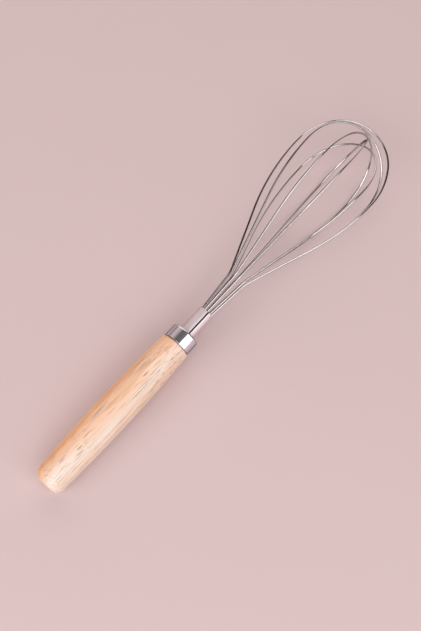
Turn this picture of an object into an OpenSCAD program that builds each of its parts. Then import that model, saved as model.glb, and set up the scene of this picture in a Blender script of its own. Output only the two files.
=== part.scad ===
// Balloon whisk with a turned wooden grip, lying on a table as it rests.
// Sizes are millimetres. Each piece is drawn along +X from the grip's butt, and the whisk is then laid down.

/* [Wooden grip] */
// Length of the wood that shows
grip_len = 107.5; // [95:0.5:125]
// Largest diameter of the grip
belly_d = 21; // [19:0.1:25]
// Distance of the largest diameter from the butt
belly_x = 56; // [45:1:70]
// Diameter that the swelling sides would reach at the butt without its rounding
butt_d = 18.1; // [16:0.1:18.8]
// Radius of the rounding round the butt
butt_round = 6; // [3:0.5:7]
// Diameter of the wood where it meets the ferrule
shoulder_d = 18.1; // [17.6:0.1:18.8]

/* [Ferrule and neck tube] */
// Outer diameter of the ferrule
ferrule_d = 17.1; // [16:0.1:17.4]
// Length of the ferrule
ferrule_len = 9.25; // [8:0.25:14]
// Thickness of the ferrule's sheet
ferrule_wall = 0.8; // [0.5:0.1:1]
// Outer diameter of the neck tube
tube_d = 9.4; // [9.4:0.1:9.8]
// Wall of the neck tube
tube_wall = 0.7; // [0.5:0.1:0.7]
// Length of the neck tube that shows in front of the ferrule
neck_len = 17.1; // [12:0.1:22]
// Length of the neck tube that the ferrule and the grip hide
tang_len = 42; // [30:1:55]

/* [Wire loops] */
// Diameter of the wire
wire_d = 1.2; // [1:0.1:1.2]
// Radius of the ring on which the wire ends stand inside the neck tube
ring_r = 3.25; // [3.2:0.01:3.3]
// Length of each wire end inside the neck tube
leg_in = 22; // [16:1:24]
// Angle at which the wires spread out of the tube's mouth
flare = 4.9; // [3:0.1:6]
// Radius of the slight bend at the tube's mouth
flare_r = 20; // [12:1:24]
// Distance from the tube's mouth to the outward bend
bend_x = 27.3; // [24:0.1:30]
// Radius of the outward bend
bend_r = 22; // [15:1:26]
// Radius of the wires' long sides
side_r = 135; // [115:1:160]
// How far the longest loop reaches past the tube's mouth
reach = 150.4; // [142:0.1:162]

/* [Differences between the hand-bent loops, the longest first] */
// Direction of each loop round the whisk in degrees, about 36 apart
loop_turn = [7, 36, 72, 109, 146]; // [5:1:148]
// Half of each loop's width
loop_half = [29.5, 28.9, 28, 26.9, 28.3]; // [26.5:0.1:30]
// How much shorter than the longest loop each one is
loop_short = [0, 3.3, 6.9, 8.2, 9.7]; // [0:0.1:12]
// Length of each loop's round end as a share of half its width
loop_cap = [1.17, 1.03, 1.07, 1.08, 1.03]; // [1.02:0.01:1.2]
// How far each loop's round end lies off the whisk's axis, in the loop's own plane
loop_shift = [1.1, -0.7, 0, -0.4, -1.7]; // [-2:0.1:2]
// Lean of each loop's plane out of the whisk's axis in degrees
loop_lean = [0.2, 0.2, 1.5, -0.2, 0.9]; // [-1.5:0.1:1.5]

/* [Hidden] */
$fn = 96;

// Colours of the finishes
wood = [0.93, 0.79, 0.64];
chrome = [0.84, 0.83, 0.85];
satin = [0.80, 0.77, 0.78];
wire = [0.72, 0.71, 0.72];
steel = [0.58, 0.58, 0.60];
resin = [0.24, 0.20, 0.18];

// Stations along the whisk, from the butt
face_x = grip_len + ferrule_len;
mouth_x = face_x + neck_len;
tang_x = face_x - tang_len;

// Gaps that glue or resin fills, small roundings, and the hidden pieces' own sizes
glue_gap = 0.1;
edge_round = 0.6;
cap_round = 1;
tube_r = tube_d / 2;
bore_r = tube_r - tube_wall;
spigot_r = ferrule_d / 2 - ferrule_wall - glue_gap;
spigot_len = ferrule_len - ferrule_wall - glue_gap;
pin_r = ring_r - wire_d / 2 - glue_gap;
pin_len = 18;
pin_below = 4;
seal_below = 1.2;
seal_depth = 2.8;

// Flat sides round the wire, and the largest turn between its stations in a tight bend and along a long side
wire_sides = 8;
bend_step = 6;
side_step = 3.2;

// Points of an arc round (cx, cy) with radius r, from angle a0 to angle a1
function arc(cx, cy, r, a0, a1, n = 12) =
    [for (i = [0:n]) let (a = a0 + (a1 - a0) * i / n) [cx + r * cos(a), cy + r * sin(a)]];

// Radius of the grip's swelling side at the distance x from the butt
function side_radius(x) =
    let (end_r = x < belly_x ? butt_d / 2 : shoulder_d / 2)
    let (run = x < belly_x ? belly_x : grip_len - belly_x)
    belly_d / 2 - (belly_d / 2 - end_r) * pow((x - belly_x) / run, 2);

// Sizes of loop i: its half width on one side, its round end's length and two radii, and its widest place,
// which lies at widest_x past the tube's mouth
function half_width(i, side) = loop_half[i] + side * loop_shift[i];
function cap_len(i) = loop_half[i] * loop_cap[i];
function crown_r(i) = loop_half[i] / sqrt(loop_cap[i]);
function shoulder_r(i) =
    let (squares = pow(cap_len(i), 2) + pow(loop_half[i], 2))
    (squares - 2 * cap_len(i) * crown_r(i)) / (2 * (loop_half[i] - crown_r(i)));
function shoulder_turn(i) = atan((cap_len(i) - crown_r(i)) / (shoulder_r(i) - loop_half[i]));
function widest_x(i) = reach - loop_short[i] - cap_len(i);

// The long side's centre as seen from the outward bend: [along the whisk, across it]
function side_centre(i, side) =
    [widest_x(i) - bend_x, side_r + ring_r + bend_x * tan(flare) - half_width(i, side)];

// Angle between the whisk's axis and the straight run that leads to the long side
function spread(i, side) = let (c = side_centre(i, side)) atan2(c[0], c[1]) - acos(side_r / norm(c));

// Height of the butt's rounding below the axis, and of a loop's lower side, when the axis is tipped up by a
function butt_drop(a) =
    let (r = side_radius(butt_round) - butt_round)
    butt_round + r * cos(a) - butt_round * sin(a);
function loop_drop(i, side, a) =
    let (up = side * sin(loop_turn[i]))
    let (across = half_width(i, side) - side_r)
    let (aside = widest_x(i) * tan(loop_lean[i]) * cos(loop_turn[i]))
    wire_d / 2 - (mouth_x + widest_x(i)) * sin(a) - (across * up + aside) * cos(a)
    + side_r * norm([sin(a), up * cos(a)]);

// The tip-up angle at which the butt and the lowest loop touch the table together, found by halving
function rest_angle(low = 0, high = 12, steps = 24) =
    let (a = (low + high) / 2)
    steps == 0 ? a
    : lowest_loop(a) > butt_drop(a) ? rest_angle(a, high, steps - 1) : rest_angle(low, a, steps - 1);
function lowest_loop(a) = max([for (i = [0:4]) loop_drop(i, -1, a)]);

rest = rest_angle();
tip_x = mouth_x + reach + wire_d / 2;
middle_x = tip_x * cos(rest) / 2;
middle_y = loop_shift[0] * cos(loop_turn[0]);

// Tips the whisk up onto its butt and its lowest wires, on a table at Z = 0, with its middle over the origin
module laid_down() {
    translate([-middle_x, -middle_y, butt_drop(rest)]) rotate([0, -rest, 0]) children();
}

// A solid turned about the whisk's axis, from points [radius, distance from the butt]
module turned(points) {
    rotate([0, 90, 0]) rotate_extrude() polygon(points);
}

// A rod along the whisk's axis
module rod(r, from_x, to_x) {
    translate([from_x, 0, 0]) rotate([0, 90, 0]) cylinder(r = r, h = to_x - from_x);
}

// Stations [x, y, heading] of a wire in the XY plane along a list of runs, each [0, length] for a straight
// or [radius, angle] for a bend, where a positive angle bends towards +Y; each run follows on from the last
function walk(runs, x, y, heading, i = 0) =
    i == len(runs) ? []
    : let (run = runs[i])
    let (stops = run[0] == 0 ? straight(x, y, heading, run[1]) : bend(x, y, heading, run[0], run[1]))
    let (end = stops[len(stops) - 1])
    concat(stops, walk(runs, end[0], end[1], end[2], i + 1));
function straight(x, y, heading, length) =
    [[x + length * cos(heading), y + length * sin(heading), heading]];
function bend(x, y, heading, r, angle) =
    let (steps = ceil(abs(angle) / (r > 3 * bend_r ? side_step : bend_step)))
    let (to = r * sign(angle))
    [for (i = [1:steps]) let (h = heading + angle * i / steps)
        [x + to * (sin(h) - sin(heading)), y + to * (cos(heading) - cos(h)), h]];

// Stations of half of loop i, from its end inside the tube to the middle of its round end, bulging towards +Y
function half_loop(i, side) =
    let (open = spread(i, side))
    let (at_mouth = flare_r * tan(flare / 2))
    let (at_bend = bend_r * tan((open - flare) / 2))
    let (to_side = sqrt(pow(norm(side_centre(i, side)), 2) - pow(side_r, 2)))
    concat([[-leg_in, ring_r, 0]], walk([
        [0, leg_in - at_mouth],
        [flare_r, flare],
        [0, bend_x / cos(flare) - at_mouth - at_bend],
        [bend_r, open - flare],
        [0, to_side - at_bend],
        [side_r, -open],
        [shoulder_r(i), -shoulder_turn(i)],
        [crown_r(i), shoulder_turn(i) - 90]
    ], -leg_in, ring_r, 0));

// Stations of the whole loop, out along one half and back along the other
function whole_loop(i) =
    let (out = half_loop(i, 1))
    let (back = half_loop(i, -1))
    concat(out, [for (k = [len(back) - 2:-1:0]) [back[k][0], -back[k][1], 180 - back[k][2]]]);

// Wire through stations in the XY plane
module wire_through(stations) {
    rings = len(stations);
    points = [for (s = stations, k = [0:wire_sides - 1])
        let (a = 360 * k / wire_sides)
        let (aside = wire_d / 2 * cos(a))
        [s[0] - aside * sin(s[2]), s[1] + aside * cos(s[2]), wire_d / 2 * sin(a)]];
    walls = [for (i = [0:rings - 2], k = [0:wire_sides - 1])
        let (a = i * wire_sides + k)
        let (b = i * wire_sides + (k + 1) % wire_sides)
        each [[a, a + wire_sides, b + wire_sides], [a, b + wire_sides, b]]];
    last = (rings - 1) * wire_sides;
    ends = [for (k = [1:wire_sides - 2]) each [[0, k, k + 1], [last, last + k + 1, last + k]]];
    polyhedron(points, concat(walls, ends));
}

// Puts what is drawn in the XY plane, with the tube's mouth at its origin, where loop i lies
module in_loop_plane(i) {
    translate([mouth_x, 0, 0]) rotate([loop_turn[i], 0, 0]) rotate([0, -loop_lean[i], 0]) children();
}

// Turned grip with a rounded butt, a spigot for the ferrule and a blind bore for the neck tube
module wooden_grip() {
    butt_r = side_radius(butt_round);
    side_steps = 24;
    end_r = shoulder_d / 2;
    color(wood) laid_down() turned(concat(
        [[0, 0]],
        arc(butt_r - butt_round, butt_round, butt_round, -90, 0),
        [for (i = [1:side_steps])
            let (x = butt_round + (grip_len - edge_round - butt_round) * i / side_steps)
            [side_radius(x), x]],
        arc(end_r - edge_round, grip_len - edge_round, edge_round, 15, 90, 5),
        [[spigot_r, grip_len], [spigot_r, grip_len + spigot_len], [tube_r, grip_len + spigot_len],
            [tube_r, tang_x], [0, tang_x]]
    ));
}

// Drawn cap over the spigot, with a hole for the neck tube in its face
module ferrule() {
    r = ferrule_d / 2;
    inner_r = r - ferrule_wall;
    color(chrome) laid_down() turned(concat(
        [[inner_r, grip_len], [r, grip_len]],
        arc(r - cap_round, face_x - cap_round, cap_round, 0, 90, 6),
        [[tube_r, face_x], [tube_r, face_x - ferrule_wall], [inner_r, face_x - ferrule_wall]]
    ));
}

// Plain tube that carries the wire ends and runs down into the grip
module neck_tube() {
    color(satin) laid_down() difference() {
        rod(tube_r, tang_x, mouth_x);
        rod(bore_r, tang_x - 1, mouth_x + 1);
    }
}

// Pin that keeps the ring of wire ends apart
module core_pin() {
    color(steel) laid_down() rod(pin_r, mouth_x - pin_below - pin_len, mouth_x - pin_below);
}

// Plug of resin just inside the mouth, with the wires passing through it
module resin_seal() {
    top_x = mouth_x - seal_below;
    color(resin) laid_down() difference() {
        rod(bore_r, top_x - seal_depth, top_x);
        for (i = [0:4], side = [1, -1])
            in_loop_plane(i) translate([0, side * ring_r, 0]) rod(wire_d / 2, -leg_in, 0);
    }
}

// One closed loop of wire with both of its ends in the neck tube
module wire_loop(i) {
    color(wire) laid_down() in_loop_plane(i) wire_through(whole_loop(i));
}

wooden_grip();
ferrule();
neck_tube();
core_pin();
resin_seal();
wire_loop(0);  // wire_loop_1
wire_loop(1);  // wire_loop_2
wire_loop(2);  // wire_loop_3
wire_loop(3);  // wire_loop_4
wire_loop(4);  // wire_loop_5
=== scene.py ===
"""Balloon whisk with a turned wooden grip: its looks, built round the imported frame."""
import math

import bmesh
import bpy
from mathutils import Matrix, Vector


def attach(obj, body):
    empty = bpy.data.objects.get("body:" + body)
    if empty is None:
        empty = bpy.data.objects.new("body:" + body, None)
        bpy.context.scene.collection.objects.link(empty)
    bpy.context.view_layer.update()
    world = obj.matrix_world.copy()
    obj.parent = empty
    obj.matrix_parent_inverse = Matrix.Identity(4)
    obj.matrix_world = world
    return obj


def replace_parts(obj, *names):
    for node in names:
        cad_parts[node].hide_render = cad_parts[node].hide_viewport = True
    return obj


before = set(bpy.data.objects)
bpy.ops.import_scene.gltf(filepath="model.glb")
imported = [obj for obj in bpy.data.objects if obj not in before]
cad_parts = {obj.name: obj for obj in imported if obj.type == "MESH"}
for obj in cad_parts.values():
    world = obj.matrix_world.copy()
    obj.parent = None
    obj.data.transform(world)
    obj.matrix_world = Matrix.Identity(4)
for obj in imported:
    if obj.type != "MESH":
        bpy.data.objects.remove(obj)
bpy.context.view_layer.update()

# Sizes of the whisk in millimetres and degrees, as in the part's source
GRIP_LEN, BELLY_D, BELLY_X = 107.5, 21, 56
BUTT_D, BUTT_ROUND, SHOULDER_D = 18.1, 6, 18.1
FERRULE_D, FERRULE_LEN, FERRULE_WALL, CAP_ROUND = 17.1, 9.25, 0.8, 1
TUBE_D, TUBE_WALL, NECK_LEN, TANG_LEN = 9.4, 0.7, 17.1, 42
WIRE_D, RING_R, LEG_IN = 1.2, 3.25, 22
FLARE, FLARE_R, BEND_X, BEND_R, SIDE_R, REACH = 4.9, 20, 27.3, 22, 135, 150.4
# One value for each loop: its turn round the whisk, half its width, how much shorter it is than the longest,
# its round end's length as a share of half its width, how far that end lies off the axis, and its lean
LOOP_TURN = [7, 36, 72, 109, 146]
LOOP_HALF = [29.5, 28.9, 28, 26.9, 28.3]
LOOP_SHORT = [0, 3.3, 6.9, 8.2, 9.7]
LOOP_CAP = [1.17, 1.03, 1.07, 1.08, 1.03]
LOOP_SHIFT = [1.1, -0.7, 0, -0.4, -1.7]
LOOP_LEAN = [0.2, 0.2, 1.5, -0.2, 0.9]
# The small roundings and gaps, and the two pieces inside the tube
EDGE_ROUND, GLUE_GAP = 0.6, 0.1
PIN_LEN, PIN_BELOW, SEAL_BELOW, SEAL_DEPTH = 18, 4, 1.2, 2.8

# Finer shapes than the source's: the dark gap between wood and cap, and the small roundings of rims and pin
CAP_GAP, CAP_RIM, TUBE_RIM, PIN_CHAMFER = 0.45, 0.12, 0.16, 0.25

FACE_X = GRIP_LEN + FERRULE_LEN
MOUTH_X = FACE_X + NECK_LEN
TANG_X = FACE_X - TANG_LEN
TUBE_R = TUBE_D / 2
BORE_R = TUBE_R - TUBE_WALL
SPIGOT_R = FERRULE_D / 2 - FERRULE_WALL - GLUE_GAP
SPIGOT_LEN = FERRULE_LEN - FERRULE_WALL - GLUE_GAP
PIN_R = RING_R - WIRE_D / 2 - GLUE_GAP

# The whisk's axis: its tip-up angle, and where the butt's middle lies in the frame
REST = 4.104
BUTT_AT = Vector((-142.06, -1.0918, 8.906))
MM = 0.001
LAID_DOWN = Matrix.Scale(MM, 4) @ Matrix.Translation(BUTT_AT) @ Matrix.Rotation(math.radians(-REST), 4, "Y")


def linear(code):
    """A colour written as sRGB hex, as the linear RGBA that a shader takes."""
    parts = [int(code[i:i + 2], 16) / 255 for i in (1, 3, 5)]
    return [c / 12.92 if c <= 0.04045 else ((c + 0.055) / 1.055) ** 2.4 for c in parts] + [1]


def add(tree, kind, inputs=(), out=None, **settings):
    """Adds a node with its settings. inputs, by name or in order, are values or other nodes' sockets. A Map
    Range node takes the value, the two ends it comes from and the two ends it goes to. Gives back the output
    socket named out, or else the first one."""
    made = tree.nodes.new(kind)
    for key, value in settings.items():
        setattr(made, key, value)
    open_inputs = [s for s in made.inputs if s.enabled]
    pairs = inputs.items() if isinstance(inputs, dict) else enumerate(inputs)
    for key, value in pairs:
        socket = open_inputs[key] if isinstance(key, int) else next(s for s in open_inputs if s.name == key)
        if isinstance(value, bpy.types.NodeSocket):
            tree.links.new(value, socket)
        else:
            socket.default_value = value
    shown = [s for s in made.outputs if s.enabled]
    return next((s for s in shown if s.name == out), shown[0] if shown else None)


def whisk_mm(tree):
    """A point's place in the whisk's own axes, in millimetres: X from the butt along the axis."""
    at = add(tree, "ShaderNodeTexCoord", out="Object")
    return add(tree, "ShaderNodeMapping", {
        "Vector": at, "Location": BUTT_AT * MM, "Rotation": [0, math.radians(-REST), 0], "Scale": [MM] * 3},
        vector_type="TEXTURE")


def new_material(name):
    """An empty material and its node tree."""
    material = bpy.data.materials.new(name)
    material.use_nodes = True
    material.node_tree.nodes.clear()
    return material, material.node_tree


# Materials

def rubberwood_turned():
    """Rubberwood, turned and sanded, with a thin coat of oil: cream to warm tan, matt with a soft sheen.
    Its large vessels show as thin dark dashes along the grain, and as dots on the butt."""
    material, tree = new_material("rubberwood_turned_oiled")
    mm = whisk_mm(tree)

    # The grain runs a degree off the axis and wanders by half a millimetre, so the turned side cuts in and
    # out of it. Each wander has a length along the grain, a length across it and a reach, in millimetres
    tilt = [0, math.radians(-0.4), math.radians(1.2)]
    tilted = add(tree, "ShaderNodeMapping", {"Vector": mm, "Rotation": tilt})
    grain = tilted
    for along, around, reach in ((38, 14, 1.3), (17, 6, 0.35)):
        slow = add(tree, "ShaderNodeMapping", {
            "Vector": tilted, "Scale": [1 / along, 1 / around, 1 / around]})
        wander = add(tree, "ShaderNodeTexNoise", {"Vector": slow, "Scale": 1, "Detail": 1}, out="Color")
        centred = add(tree, "ShaderNodeVectorMath", [wander, [0.5, 0.5, 0.5]], operation="SUBTRACT")
        shift = add(tree, "ShaderNodeVectorMath", [centred, [0, reach, reach]], operation="MULTIPLY")
        grain = add(tree, "ShaderNodeVectorMath", [grain, shift], operation="ADD")

    def stretched(length, width):
        """The grain's place, in units of a length along it and a width across it."""
        scale = [1 / length, 1 / width, 1 / width]
        return add(tree, "ShaderNodeMapping", {"Vector": grain, "Scale": scale})

    # Growth layers round a pith well outside the grip
    layer_mm, pith_y, pith_z = 4.5, 34, -21
    from_pith = add(tree, "ShaderNodeMapping", {
        "Vector": grain, "Location": [0, -pith_y / layer_mm, -pith_z / layer_mm],
        "Scale": [0, 1 / layer_mm, 1 / layer_mm]})
    layers_out = add(tree, "ShaderNodeVectorMath", [from_pith], operation="LENGTH", out="Value")
    in_layer = add(tree, "ShaderNodeMath", [layers_out], operation="FRACT")
    layer = add(tree, "ShaderNodeMapRange", [in_layer, 0.25, 1, 0, 0.13], interpolation_type="SMOOTHSTEP")

    # From sapwood to heartwood across the grip and at a slant, so that toward the ferrule more is heartwood
    broad = add(tree, "ShaderNodeTexNoise", {"Vector": stretched(70, 9), "Scale": 1, "Detail": 2})
    off_axis, aslant = [0, -1.7, 0], [0, 0, math.radians(1.7)]
    slant = add(tree, "ShaderNodeMapping", {"Vector": grain, "Location": off_axis, "Rotation": aslant})
    side = add(tree, "ShaderNodeSeparateXYZ", [slant], out="Y")
    toward_heart = add(tree, "ShaderNodeMapRange", [side, -7, 9, 0, 0.8], interpolation_type="SMOOTHSTEP")
    patch = add(tree, "ShaderNodeMapRange", [broad, 0.3, 0.7, -0.2, 0.42])
    heart = add(tree, "ShaderNodeMath", [toward_heart, patch], operation="ADD", use_clamp=True)
    tone = add(tree, "ShaderNodeMix", [heart, linear("#FAEADF"), linear("#F8B681")], data_type="RGBA")
    tone = add(tree, "ShaderNodeMix", [layer, tone, linear("#C98F60")], data_type="RGBA")

    # Fibres: bands 1.6 mm wide and streaks 0.6 mm wide, twice the real width, so that they show from arm's
    # length
    bands, streaks = (45, 1.6, 0.48, 0.4, "#DFA470"), (24, 0.6, 0.5, 0.6, "#B97F4C")
    for length, width, low, share, colour in (bands, streaks):
        fibre = add(tree, "ShaderNodeTexNoise", {
            "Vector": stretched(length, width), "Scale": 1, "Detail": 3, "Roughness": 0.6})
        streak = add(tree, "ShaderNodeMapRange", [fibre, low, 0.78, 0, share],
                     interpolation_type="SMOOTHSTEP")
        tone = add(tree, "ShaderNodeMix", [streak, tone, linear(colour)], data_type="RGBA")

    # Vessels: tubes along the grain. A share of them is open where the turned side cuts them, and stretches
    # of these are clogged. The large ones are drawn 0.3 mm wide, not 0.2 mm, so that they show from arm's
    # length
    large, small = (0.7, 15, 0.36, 1, "#301403"), (0.42, 11, 0.3, 0.8, "#6A3A16")
    pores = 0
    for apart, length, share, dark, colour in (large, small):
        across = add(tree, "ShaderNodeSeparateXYZ", [stretched(1, apart)]).node.outputs
        section = add(tree, "ShaderNodeCombineXYZ", [across["Y"], across["Z"], 0])
        cells = add(tree, "ShaderNodeTexVoronoi", {"Vector": section, "Scale": 1},
                    voronoi_dimensions="2D").node.outputs
        body = add(tree, "ShaderNodeMapRange", [cells["Distance"], 0.12, 0.2, 1, 0],
                   interpolation_type="SMOOTHSTEP")
        chance = add(tree, "ShaderNodeSeparateColor", [cells["Color"]], out="Red")
        is_open = add(tree, "ShaderNodeMath", [chance, share], operation="LESS_THAN")
        clogs = add(tree, "ShaderNodeTexNoise", {
            "Vector": stretched(length, apart), "Scale": 1, "Detail": 1})
        clear = add(tree, "ShaderNodeMapRange", [clogs, 0.4, 0.6, 0.1, dark],
                    interpolation_type="SMOOTHSTEP")
        pore = add(tree, "ShaderNodeMath", [body, is_open], operation="MULTIPLY")
        depth = add(tree, "ShaderNodeMath", [pore, clear], operation="MULTIPLY")
        tone = add(tree, "ShaderNodeMix", [depth, tone, linear(colour)], data_type="RGBA")
        pores = add(tree, "ShaderNodeMath", [pores, depth], operation="MAXIMUM")

    # The fibres stand up a little and the open vessels are sunk. The sheen is a faint fuzz of cut fibre ends
    rough = add(tree, "ShaderNodeMapRange", [fibre, 0.3, 0.7, 0.56, 0.68])
    height = add(tree, "ShaderNodeMath", [fibre, 0.3], operation="MULTIPLY")
    cut = add(tree, "ShaderNodeMath", [height, pores], operation="SUBTRACT")
    bump = add(tree, "ShaderNodeBump", {"Height": cut, "Distance": 0.06 * MM, "Strength": 0.8})
    shader = add(tree, "ShaderNodeBsdfPrincipled", {
        "Base Color": tone, "Roughness": rough, "IOR": 1.5, "Specular IOR Level": 0.25, "Normal": bump,
        "Sheen Weight": 0.8, "Sheen Roughness": 0.3, "Sheen Tint": linear("#FFEEE2")})
    add(tree, "ShaderNodeOutputMaterial", [shader])
    return material


def polished_metal(name, tone, rough, line_mm, line_depth, wave_mm, wave_depth, haze=0, seam=None):
    """A bright metal. Fine lines run round or along the piece, line_mm apart, and slow waves, wave_mm long,
    bend its reflections. The lines run along U, and V counts millimetres across them. rough is the lowest
    and the highest roughness. haze is the share of the light that fine scratches scatter widely. seam is
    the U of the line where a rolled sheet's edges meet. Along it the open gap is sunk as a bump and
    painted near black as painted shade. The specular tint makes the reflection dip where the surface is
    seen at about 82 degrees, as steel and chrome do."""
    streak_mm, haze_rough = 12, 0.5
    # How far from the seam the sunk gap and its painted shade stay full, where they are gone, and the gap's
    # depth, in millimetres
    slit_shade_full, slit_end, slit_depth = 0.38, 0.48, 0.2
    material, tree = new_material(name)
    uv = add(tree, "ShaderNodeTexCoord", out="UV")
    lines_at = add(tree, "ShaderNodeMapping", {"Vector": uv, "Scale": [1 / streak_mm, 1 / line_mm, 1]})
    lines = add(tree, "ShaderNodeTexNoise", {"Vector": lines_at, "Scale": 1, "Detail": 3})
    waves = add(tree, "ShaderNodeTexNoise", {"Vector": whisk_mm(tree), "Scale": 1 / wave_mm, "Detail": 1})
    low, high = rough
    roughness = add(tree, "ShaderNodeMapRange", [waves, 0.3, 0.7, low, high])
    wave_bump = add(tree, "ShaderNodeBump", {"Height": waves, "Distance": wave_depth * MM})
    bump = add(tree, "ShaderNodeBump", {"Height": lines, "Distance": line_depth * MM, "Normal": wave_bump})
    finish = {"Base Color": linear(tone), "Metallic": 1, "Roughness": roughness, "Normal": bump,
              "Specular Tint": linear("#7C7377")}
    if seam:
        # The gap along the seam is sunk as a bump, and its near-black colour is painted shade of the gap.
        # Both are full out to the first width above on each side of the seam, and gone at the second
        around = add(tree, "ShaderNodeSeparateXYZ", [uv], out="X")
        aside = add(tree, "ShaderNodeMath", [around, seam], operation="SUBTRACT")
        off = add(tree, "ShaderNodeMath", [aside], operation="ABSOLUTE")
        slit_and_shade = add(tree, "ShaderNodeMapRange", [off, slit_shade_full, slit_end, 1, 0],
                   interpolation_type="SMOOTHSTEP")
        shade = [slit_and_shade, linear(tone), linear("#0B0A0B")]
        finish["Base Color"] = add(tree, "ShaderNodeMix", shade, data_type="RGBA")
        sunk = add(tree, "ShaderNodeMath", [slit_and_shade, -1], operation="MULTIPLY")
        finish["Normal"] = add(tree, "ShaderNodeBump", {
            "Height": sunk, "Distance": slit_depth * MM, "Normal": bump})
    shader = add(tree, "ShaderNodeBsdfPrincipled", finish)
    if haze:
        veil = add(tree, "ShaderNodeBsdfPrincipled", {**finish, "Roughness": haze_rough})
        shader = add(tree, "ShaderNodeMixShader", [haze, shader, veil])
    add(tree, "ShaderNodeOutputMaterial", [shader])
    return material


def epoxy_poured():
    """Dark epoxy resin, poured round the wires: glossy, with small pits from bubbles."""
    clouds_per_mm, bubbles_per_mm = 0.8, 1.4
    material, tree = new_material("epoxy_resin_poured")
    mm = whisk_mm(tree)
    cloud = add(tree, "ShaderNodeTexNoise", {"Vector": mm, "Scale": clouds_per_mm, "Detail": 3})
    tone = add(tree, "ShaderNodeMix", [cloud, linear("#2B2420"), linear("#4A3D34")], data_type="RGBA")
    bubbles = add(tree, "ShaderNodeTexVoronoi", {"Vector": mm, "Scale": bubbles_per_mm})
    pits = add(tree, "ShaderNodeMapRange", [bubbles, 0.1, 0.22, 0, 1], interpolation_type="SMOOTHSTEP")
    bump = add(tree, "ShaderNodeBump", {"Height": pits, "Distance": 0.08 * MM})
    shader = add(tree, "ShaderNodeBsdfPrincipled", {
        "Base Color": tone, "Roughness": 0.28, "IOR": 1.55, "Normal": bump})
    add(tree, "ShaderNodeOutputMaterial", [shader])
    return material


def painted_board():
    """A table board painted in pale pink, matt, with a faint tooth from the roller."""
    cloud_mm, tooth_mm = 160, 0.8
    material, tree = new_material("table_board_painted")
    at = add(tree, "ShaderNodeTexCoord", out="Object")
    mm = add(tree, "ShaderNodeMapping", {"Vector": at, "Scale": [1 / MM] * 3})
    cloud = add(tree, "ShaderNodeTexNoise", {"Vector": mm, "Scale": 1 / cloud_mm, "Detail": 2})
    tone = add(tree, "ShaderNodeMix", [cloud, linear("#D9C4C4"), linear("#D7C1C1")], data_type="RGBA")
    tooth = add(tree, "ShaderNodeTexNoise", {"Vector": mm, "Scale": 1 / tooth_mm, "Detail": 2})
    bump = add(tree, "ShaderNodeBump", {"Height": tooth, "Distance": 0.01 * MM})
    shader = add(tree, "ShaderNodeBsdfPrincipled", {
        "Base Color": tone, "Roughness": 0.5, "Specular IOR Level": 0.3, "Normal": bump})
    add(tree, "ShaderNodeOutputMaterial", [shader])
    return material


WOOD = rubberwood_turned()
# Steel cap, chromed and buffed: a clear mirror with a light veil over it, from scratches that run round it
CHROME = polished_metal("steel_cap_chromed_buffed", "#E2DFE7", rough=(0.05, 0.1), line_mm=0.25,
                        line_depth=0.0006, wave_mm=5, wave_depth=0.02, haze=0.22)
# Stainless sheet rolled into a tube, satin: broad soft tones, and the dark line of its butt seam, whose
# near-black colour is painted shade of the open gap
TUBE = polished_metal("stainless_tube_rolled_satin", "#F7EBEE", rough=(0.48, 0.54), line_mm=0.3,
                      line_depth=0.001, wave_mm=6, wave_depth=0.01, seam=9.74)
# Stainless spring wire, bright drawn: narrow clear reflections with dark between them, and no lines
WIRE = polished_metal("stainless_wire_bright_drawn", "#CFCAC9", rough=(0.03, 0.06), line_mm=0.2,
                      line_depth=0, wave_mm=9, wave_depth=0.001)
# Plain steel rod, cut to length: dull grey with soft highlights
STEEL = polished_metal("steel_pin_cut", "#B9B8B8", rough=(0.3, 0.4), line_mm=0.2,
                       line_depth=0.004, wave_mm=4, wave_depth=0.01)
RESIN = epoxy_poured()


# Shapes

def arc(cx, cy, r, a0, a1, n):
    """n + 1 points round (cx, cy) from angle a0 to a1, in degrees."""
    turns = [math.radians(a0 + (a1 - a0) * i / n) for i in range(n + 1)]
    return [(cx + r * math.cos(a), cy + r * math.sin(a)) for a in turns]


def mesh_piece(name, bm, material):
    """Makes a smooth-shaded piece from a mesh in the whisk's own axes, and lays it down with the whisk."""
    mesh = bpy.data.meshes.new(name)
    bm.normal_update()
    bmesh.ops.recalc_face_normals(bm, faces=bm.faces)
    bm.to_mesh(mesh)
    bm.free()
    mesh.transform(LAID_DOWN)
    mesh.shade_smooth()
    mesh.materials.append(material)
    piece = bpy.data.objects.new(name, mesh)
    bpy.context.scene.collection.objects.link(piece)
    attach(piece, "root")
    return piece


def turned(name, profile, material, closed=False, sides=144):
    """A piece turned about the whisk's axis from (radius, distance) points. A closed profile makes a ring,
    and another one starts and ends on the axis. U counts millimetres round the piece and V along it."""
    bm = bmesh.new()
    uv = bm.loops.layers.uv.new("UVMap")
    turns = [2 * math.pi * k / sides for k in range(sides)]
    rings = []
    for r, x in profile:
        if r < 1e-6:
            rings.append([bm.verts.new((x, 0, 0))])
        else:
            rings.append([bm.verts.new((x, r * math.cos(a), r * math.sin(a))) for a in turns])
    run = [0]
    for (r0, x0), (r1, x1) in zip(profile, profile[1:] + profile[:1]):
        run.append(run[-1] + math.hypot(r1 - r0, x1 - x0))
    count = len(rings) if closed else len(rings) - 1
    widest = max(r for r, x in profile)
    for i in range(count):
        a, b = rings[i], rings[(i + 1) % len(rings)]
        for k in range(sides):
            k2 = k + 1
            corners = [(a, k, i), (b, k, i + 1), (b, k2, i + 1), (a, k2, i)]
            if len(a) == 1:
                corners = corners[:3]
            elif len(b) == 1:
                corners = [corners[0], corners[1], corners[3]]
            face = bm.faces.new([ring[turn % sides if len(ring) > 1 else 0] for ring, turn, at in corners])
            for loop, (ring, turn, at) in zip(face.loops, corners):
                loop[uv].uv = (2 * math.pi * widest * turn / sides, run[at])
    return mesh_piece(name, bm, material)


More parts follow.
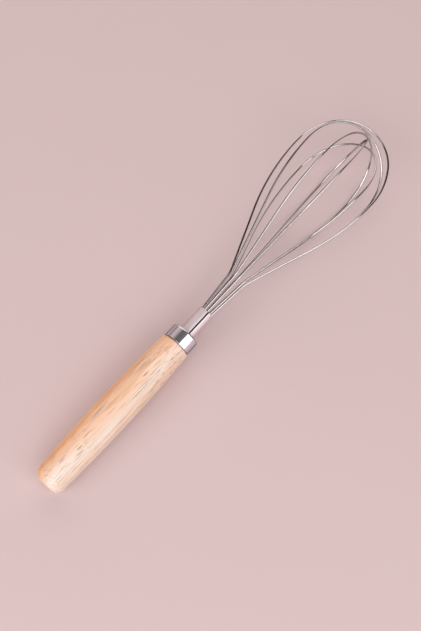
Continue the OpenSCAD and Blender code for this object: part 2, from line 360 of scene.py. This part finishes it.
def side_radius(x):
    """Radius of the grip's swelling side at the distance x from the butt."""
    end_r, run = (BUTT_D / 2, BELLY_X) if x < BELLY_X else (SHOULDER_D / 2, GRIP_LEN - BELLY_X)
    return BELLY_D / 2 - (BELLY_D / 2 - end_r) * ((x - BELLY_X) / run) ** 2


def grip():
    """The turned grip, with its rounded butt, the spigot under the ferrule and the blind bore for the tube.
    Here and in the cap and the tube, a hold is the distance past a rounding to the next ring of points,
    where the rounding's shading ends."""
    butt_r, butt_hold = side_radius(BUTT_ROUND), 1
    end_r, side_lean = SHOULDER_D / 2, 4
    run, steps = GRIP_LEN - EDGE_ROUND - BUTT_ROUND, 110
    along = [BUTT_ROUND + run * i / steps for i in range(1, steps)]
    spigot_x = GRIP_LEN + SPIGOT_LEN
    profile = [(0, 0), (butt_r - BUTT_ROUND - butt_hold, 0)]
    profile += arc(butt_r - BUTT_ROUND, BUTT_ROUND, BUTT_ROUND, -90, 0, 28)
    profile += [(side_radius(x), x) for x in along]
    profile += arc(end_r - EDGE_ROUND, GRIP_LEN - EDGE_ROUND, EDGE_ROUND, side_lean, 90, 8)
    profile += [(SPIGOT_R, GRIP_LEN), (SPIGOT_R, spigot_x)]
    profile += [(TUBE_R, spigot_x), (TUBE_R, TANG_X), (0, TANG_X)]
    return turned("grip_turned", profile, WOOD)


def drawn_cap():
    """The ferrule: a drawn cap with a rounded front edge, a softened rear rim and a hole for the tube."""
    r, rear_x, edge_x = FERRULE_D / 2, GRIP_LEN + CAP_GAP, FACE_X - CAP_ROUND
    inner_r, face_r = r - FERRULE_WALL, r - CAP_ROUND
    inner_hold, rear_hold, edge_hold, hole_hold = 0.4, 0.15, 0.25, 0.23
    profile = [(inner_r, rear_x + inner_hold), (inner_r, rear_x)]
    profile += arc(r - CAP_RIM, rear_x + CAP_RIM, CAP_RIM, -90, 0, 4)
    profile += [(r, rear_x + CAP_RIM + rear_hold), (r, (GRIP_LEN + FACE_X) / 2), (r, edge_x - edge_hold)]
    profile += arc(face_r, edge_x, CAP_ROUND, 0, 90, 12)
    profile += [(face_r - edge_hold, FACE_X), (TUBE_R + CAP_RIM + hole_hold, FACE_X)]
    profile += arc(TUBE_R + CAP_RIM, FACE_X - CAP_RIM, CAP_RIM, 90, 180, 4)
    profile += [(TUBE_R, FACE_X - FERRULE_WALL), (inner_r, FACE_X - FERRULE_WALL)]
    return turned("ferrule_drawn_cap", profile, CHROME, closed=True)


def neck_sleeve():
    """The neck tube, with its two rims lightly rounded."""
    low, high, hold = TANG_X + TUBE_RIM, MOUTH_X - TUBE_RIM, 0.2
    profile = [(TUBE_R, x) for x in (low + hold, FACE_X - 1, FACE_X + 1, high - hold)]
    profile += arc(TUBE_R - TUBE_RIM, high, TUBE_RIM, 0, 90, 5)
    profile += arc(BORE_R + TUBE_RIM, high, TUBE_RIM, 90, 180, 5)
    profile += [(BORE_R, high - hold), (BORE_R, low + hold)]
    profile += arc(BORE_R + TUBE_RIM, low, TUBE_RIM, 180, 270, 5)
    profile += arc(TUBE_R - TUBE_RIM, low, TUBE_RIM, 270, 360, 5)
    return turned("neck_tube_sleeve", profile, TUBE, closed=True, sides=112)


def walk(runs, x, y, heading):
    """Stations (x, y, heading) of a wire along its runs: (0, length) for a straight and (radius, degrees)
    for a bend. The steps between them are at most straight_step long, or turn by at most bend_step degrees,
    or wide_step where the radius is over wide_r."""
    straight_step, bend_step, wide_step, wide_r = 6, 3, 1.2, 100
    stations = [(x, y, heading)]
    for r, amount in runs:
        if r == 0:
            steps = max(1, math.ceil(amount / straight_step))
            for i in range(steps):
                x += amount / steps * math.cos(heading)
                y += amount / steps * math.sin(heading)
                stations.append((x, y, heading))
            continue
        turn = math.radians(amount)
        steps = math.ceil(abs(amount) / (wide_step if r > wide_r else bend_step))
        to = math.copysign(r, turn)
        for i in range(1, steps + 1):
            h = heading + turn * i / steps
            ahead, aside = math.sin(h) - math.sin(heading), math.cos(heading) - math.cos(h)
            stations.append((x + to * ahead, y + to * aside, h))
        x, y, heading = stations[-1]
    return stations


def half_loop(i, side):
    """Stations of half of loop i, in its own plane, from its end in the tube to the middle of its round
    end. spread is the angle of the straight run that leads to the long side. The round end is cap long, and
    has a shoulder and a crown with radii of their own."""
    half = LOOP_HALF[i] + side * LOOP_SHIFT[i]
    cap = LOOP_HALF[i] * LOOP_CAP[i]
    crown_r = LOOP_HALF[i] / math.sqrt(LOOP_CAP[i])
    shoulder_r = (cap ** 2 + LOOP_HALF[i] ** 2 - 2 * cap * crown_r) / (2 * (LOOP_HALF[i] - crown_r))
    shoulder_turn = math.degrees(math.atan((cap - crown_r) / (shoulder_r - LOOP_HALF[i])))
    flare = math.radians(FLARE)
    along = REACH - LOOP_SHORT[i] - cap - BEND_X
    across = SIDE_R + RING_R + BEND_X * math.tan(flare) - half
    far = math.hypot(along, across)
    spread = math.degrees(math.atan2(along, across) - math.acos(SIDE_R / far))
    at_mouth = FLARE_R * math.tan(flare / 2)
    at_bend = BEND_R * math.tan(math.radians(spread - FLARE) / 2)
    return walk([
        (0, LEG_IN - at_mouth),
        (FLARE_R, FLARE),
        (0, BEND_X / math.cos(flare) - at_mouth - at_bend),
        (BEND_R, spread - FLARE),
        (0, math.sqrt(far ** 2 - SIDE_R ** 2) - at_bend),
        (SIDE_R, -spread),
        (shoulder_r, -shoulder_turn),
        (crown_r, shoulder_turn - 90),
    ], -LEG_IN, RING_R, 0)


def wire_loop(i, sides=16):
    """One closed loop of round wire. U runs along the wire in millimetres and V round it."""
    out, back = half_loop(i, 1), half_loop(i, -1)
    path = out + [(x, -y, math.pi - h) for x, y, h in reversed(back[:-1])]
    plane = (Matrix.Translation((MOUTH_X, 0, 0)) @ Matrix.Rotation(math.radians(LOOP_TURN[i]), 4, "X")
             @ Matrix.Rotation(math.radians(-LOOP_LEAN[i]), 4, "Y"))
    r = WIRE_D / 2
    bm = bmesh.new()
    uv = bm.loops.layers.uv.new("UVMap")
    rings, run = [], [0]
    for n, (x, y, h) in enumerate(path):
        ring = []
        for k in range(sides):
            a = 2 * math.pi * k / sides
            aside = r * math.cos(a)
            at = Vector((x - aside * math.sin(h), y + aside * math.cos(h), r * math.sin(a)))
            ring.append(bm.verts.new(plane @ at))
        rings.append(ring)
        if n:
            run.append(run[-1] + math.dist(path[n][:2], path[n - 1][:2]))
    for n in range(len(rings) - 1):
        for k in range(sides):
            k2 = k + 1
            corners = [(n, k), (n + 1, k), (n + 1, k2), (n, k2)]
            face = bm.faces.new([rings[m][turn % sides] for m, turn in corners])
            for loop, (m, turn) in zip(face.loops, corners):
                loop[uv].uv = (run[m], 2 * math.pi * r * turn / sides)
    bm.faces.new(rings[0])
    bm.faces.new(rings[-1][::-1])
    return mesh_piece(f"wire_loop_{i + 1}_drawn", bm, WIRE)


def resin_plug():
    """The plug of resin in the mouth. It creeps up round each wire and up the tube's wall."""
    top_x, bottom_x = MOUTH_X - SEAL_BELOW, MOUTH_X - SEAL_BELOW - SEAL_DEPTH
    wires = []
    for turn in LOOP_TURN:
        a = math.radians(turn)
        wires += [(side * RING_R * math.cos(a), side * RING_R * math.sin(a)) for side in (1, -1)]
    rings, sides = 26, 96
    sag, wire_creep, wire_fade, wall_creep, wall_fade = 0.05, 0.4, 0.18, 0.25, 0.2
    bm = bmesh.new()

    def top_at(y, z):
        """The resin's top at (y, z), along the axis. It sags a little, and creeps up near wires and wall."""
        to_wire = max(0, min(math.hypot(y - wy, z - wz) for wy, wz in wires) - WIRE_D / 2)
        to_wall = max(0, BORE_R - math.hypot(y, z))
        creep = wire_creep * math.exp(-to_wire / wire_fade) + wall_creep * math.exp(-to_wall / wall_fade)
        return top_x - sag + creep

    layers = []
    for n in range(rings + 1):
        r = BORE_R * n / rings
        if n == 0:
            layers.append([bm.verts.new((top_at(0, 0), 0, 0))])
            continue
        turns = [2 * math.pi * k / sides for k in range(sides)]
        ring = [(r * math.cos(a), r * math.sin(a)) for a in turns]
        layers.append([bm.verts.new((top_at(y, z), y, z)) for y, z in ring])
    rim = [bm.verts.new((bottom_x, v.co.y, v.co.z)) for v in layers[-1]]
    layers.append(rim)
    for inner, outer in zip(layers, layers[1:]):
        for k in range(sides):
            k2 = (k + 1) % sides
            if len(inner) == 1:
                bm.faces.new([inner[0], outer[k], outer[k2]])
            else:
                bm.faces.new([inner[k], outer[k], outer[k2], inner[k2]])
    bm.faces.new(rim)
    return mesh_piece("resin_plug_poured", bm, RESIN)


def cut_pin():
    """The pin inside the ring of wire ends, with a small chamfer at each end."""
    bottom, top = MOUTH_X - PIN_BELOW - PIN_LEN, MOUTH_X - PIN_BELOW
    face_r = PIN_R - PIN_CHAMFER
    profile = [(0, bottom), (face_r, bottom), (PIN_R, bottom + PIN_CHAMFER)]
    profile += [(PIN_R, top - PIN_CHAMFER), (face_r, top), (0, top)]
    return turned("core_pin_cut", profile, STEEL, sides=48)


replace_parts(grip(), "wooden_grip")
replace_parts(drawn_cap(), "ferrule")
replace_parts(neck_sleeve(), "neck_tube")
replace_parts(resin_plug(), "resin_seal")
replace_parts(cut_pin(), "core_pin")
for loop in range(len(LOOP_TURN)):
    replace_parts(wire_loop(loop), f"wire_loop_{loop + 1}")


# Studio

# The table's radius and the soft panels' distance from the whisk, in metres
TABLE_R, PANEL_AWAY = 20, 3


def table_board():
    """The pale round table top that the whisk lies on, so wide that its edge is far off in a low view."""
    bm = bmesh.new()
    bmesh.ops.create_circle(bm, cap_ends=True, segments=96, radius=TABLE_R)
    mesh = bpy.data.meshes.new("table_board")
    bm.to_mesh(mesh)
    bm.free()
    mesh.materials.append(painted_board())
    board = bpy.data.objects.new("table_board", mesh)
    bpy.context.scene.collection.objects.link(board)


def toward(azimuth, elevation):
    """The direction at an azimuth from +X towards +Y and an elevation above the table, in degrees."""
    a, e = math.radians(azimuth), math.radians(elevation)
    return Vector((math.cos(a) * math.cos(e), math.sin(a) * math.cos(e), math.sin(e)))


def soft_panel(name, azimuth, elevation, width, height, radiance):
    """A soft panel of light that faces the whisk. Its width and height are in metres. radiance is what it
    shows in a mirror, where 1 is white."""
    lamp = bpy.data.lights.new(name, "AREA")
    lamp.shape = "RECTANGLE"
    lamp.size, lamp.size_y = width, height
    lamp.energy = radiance * math.pi * width * height
    panel = bpy.data.objects.new(name, lamp)
    panel.location = toward(azimuth, elevation) * PANEL_AWAY
    panel.rotation_euler = (-panel.location).to_track_quat("-Z", "Y").to_euler()
    panel.visible_camera = False
    bpy.context.scene.collection.objects.link(panel)


def room_light():
    """The room: a pale pink backdrop across from the camera, and dark elsewhere. The backdrop is at its
    full brightness up to full_at degrees from its middle, and gone at gone_at."""
    full_at, gone_at, brightness = 17, 52, 1.44
    world = bpy.data.worlds.new("studio")
    world.use_nodes = True
    tree = world.node_tree
    tree.nodes.clear()
    direction = add(tree, "ShaderNodeTexCoord", out="Generated")
    middle = toward(azimuth=36, elevation=24)
    facing = add(tree, "ShaderNodeVectorMath", [direction, middle], operation="DOT_PRODUCT", out="Value")
    full, gone = math.cos(math.radians(full_at)), math.cos(math.radians(gone_at))
    backdrop = add(tree, "ShaderNodeMapRange", [facing, gone, full, 0, 1], interpolation_type="SMOOTHSTEP")
    tone = add(tree, "ShaderNodeMix", [backdrop, linear("#261E1F"), linear("#FFEEE7")], data_type="RGBA")
    room = add(tree, "ShaderNodeBackground", [tone, brightness])
    add(tree, "ShaderNodeOutputWorld", [room])
    bpy.context.scene.world = world


def camera():
    """The photograph's view: about 68 degrees above the table and 0.76 m away. aim lies aside to the right
    and below the middle of the picture, in millimetres."""
    heading, elevation = math.radians(48.19), math.radians(67.93)
    distance, focal_px, width_px = 760, 1320, 421
    aside, below = 1.52, -6.19
    aim = Vector((-2.42, -1.09, 18.93))
    right = Vector((math.cos(heading), -math.sin(heading), 0))
    level = math.cos(elevation)
    forward = Vector((math.sin(heading) * level, math.cos(heading) * level, -math.sin(elevation)))
    down = forward.cross(right)
    data = bpy.data.cameras.new("camera")
    data.sensor_fit = "HORIZONTAL"
    data.sensor_width = 36
    data.lens = data.sensor_width * focal_px / width_px
    data.clip_start, data.clip_end = 0.01, 20
    shot = bpy.data.objects.new("camera", data)
    turn = Matrix((right, -down, -forward)).transposed()
    place = aim - right * aside - down * below - forward * distance
    shot.matrix_world = Matrix.Translation(place * MM) @ turn.to_4x4()
    bpy.context.scene.collection.objects.link(shot)
    bpy.context.scene.camera = shot


table_board()
soft_panel("soft_panel_left", azimuth=192, elevation=41, width=5, height=2.2, radiance=2.85)
soft_panel("soft_panel_right", azimuth=272, elevation=33, width=1.45, height=3.5, radiance=2.15)
soft_panel("soft_panel_top", azimuth=213, elevation=72, width=1.25, height=1.25, radiance=2)
room_light()
camera()
bpy.context.scene.view_settings.view_transform = "Standard"
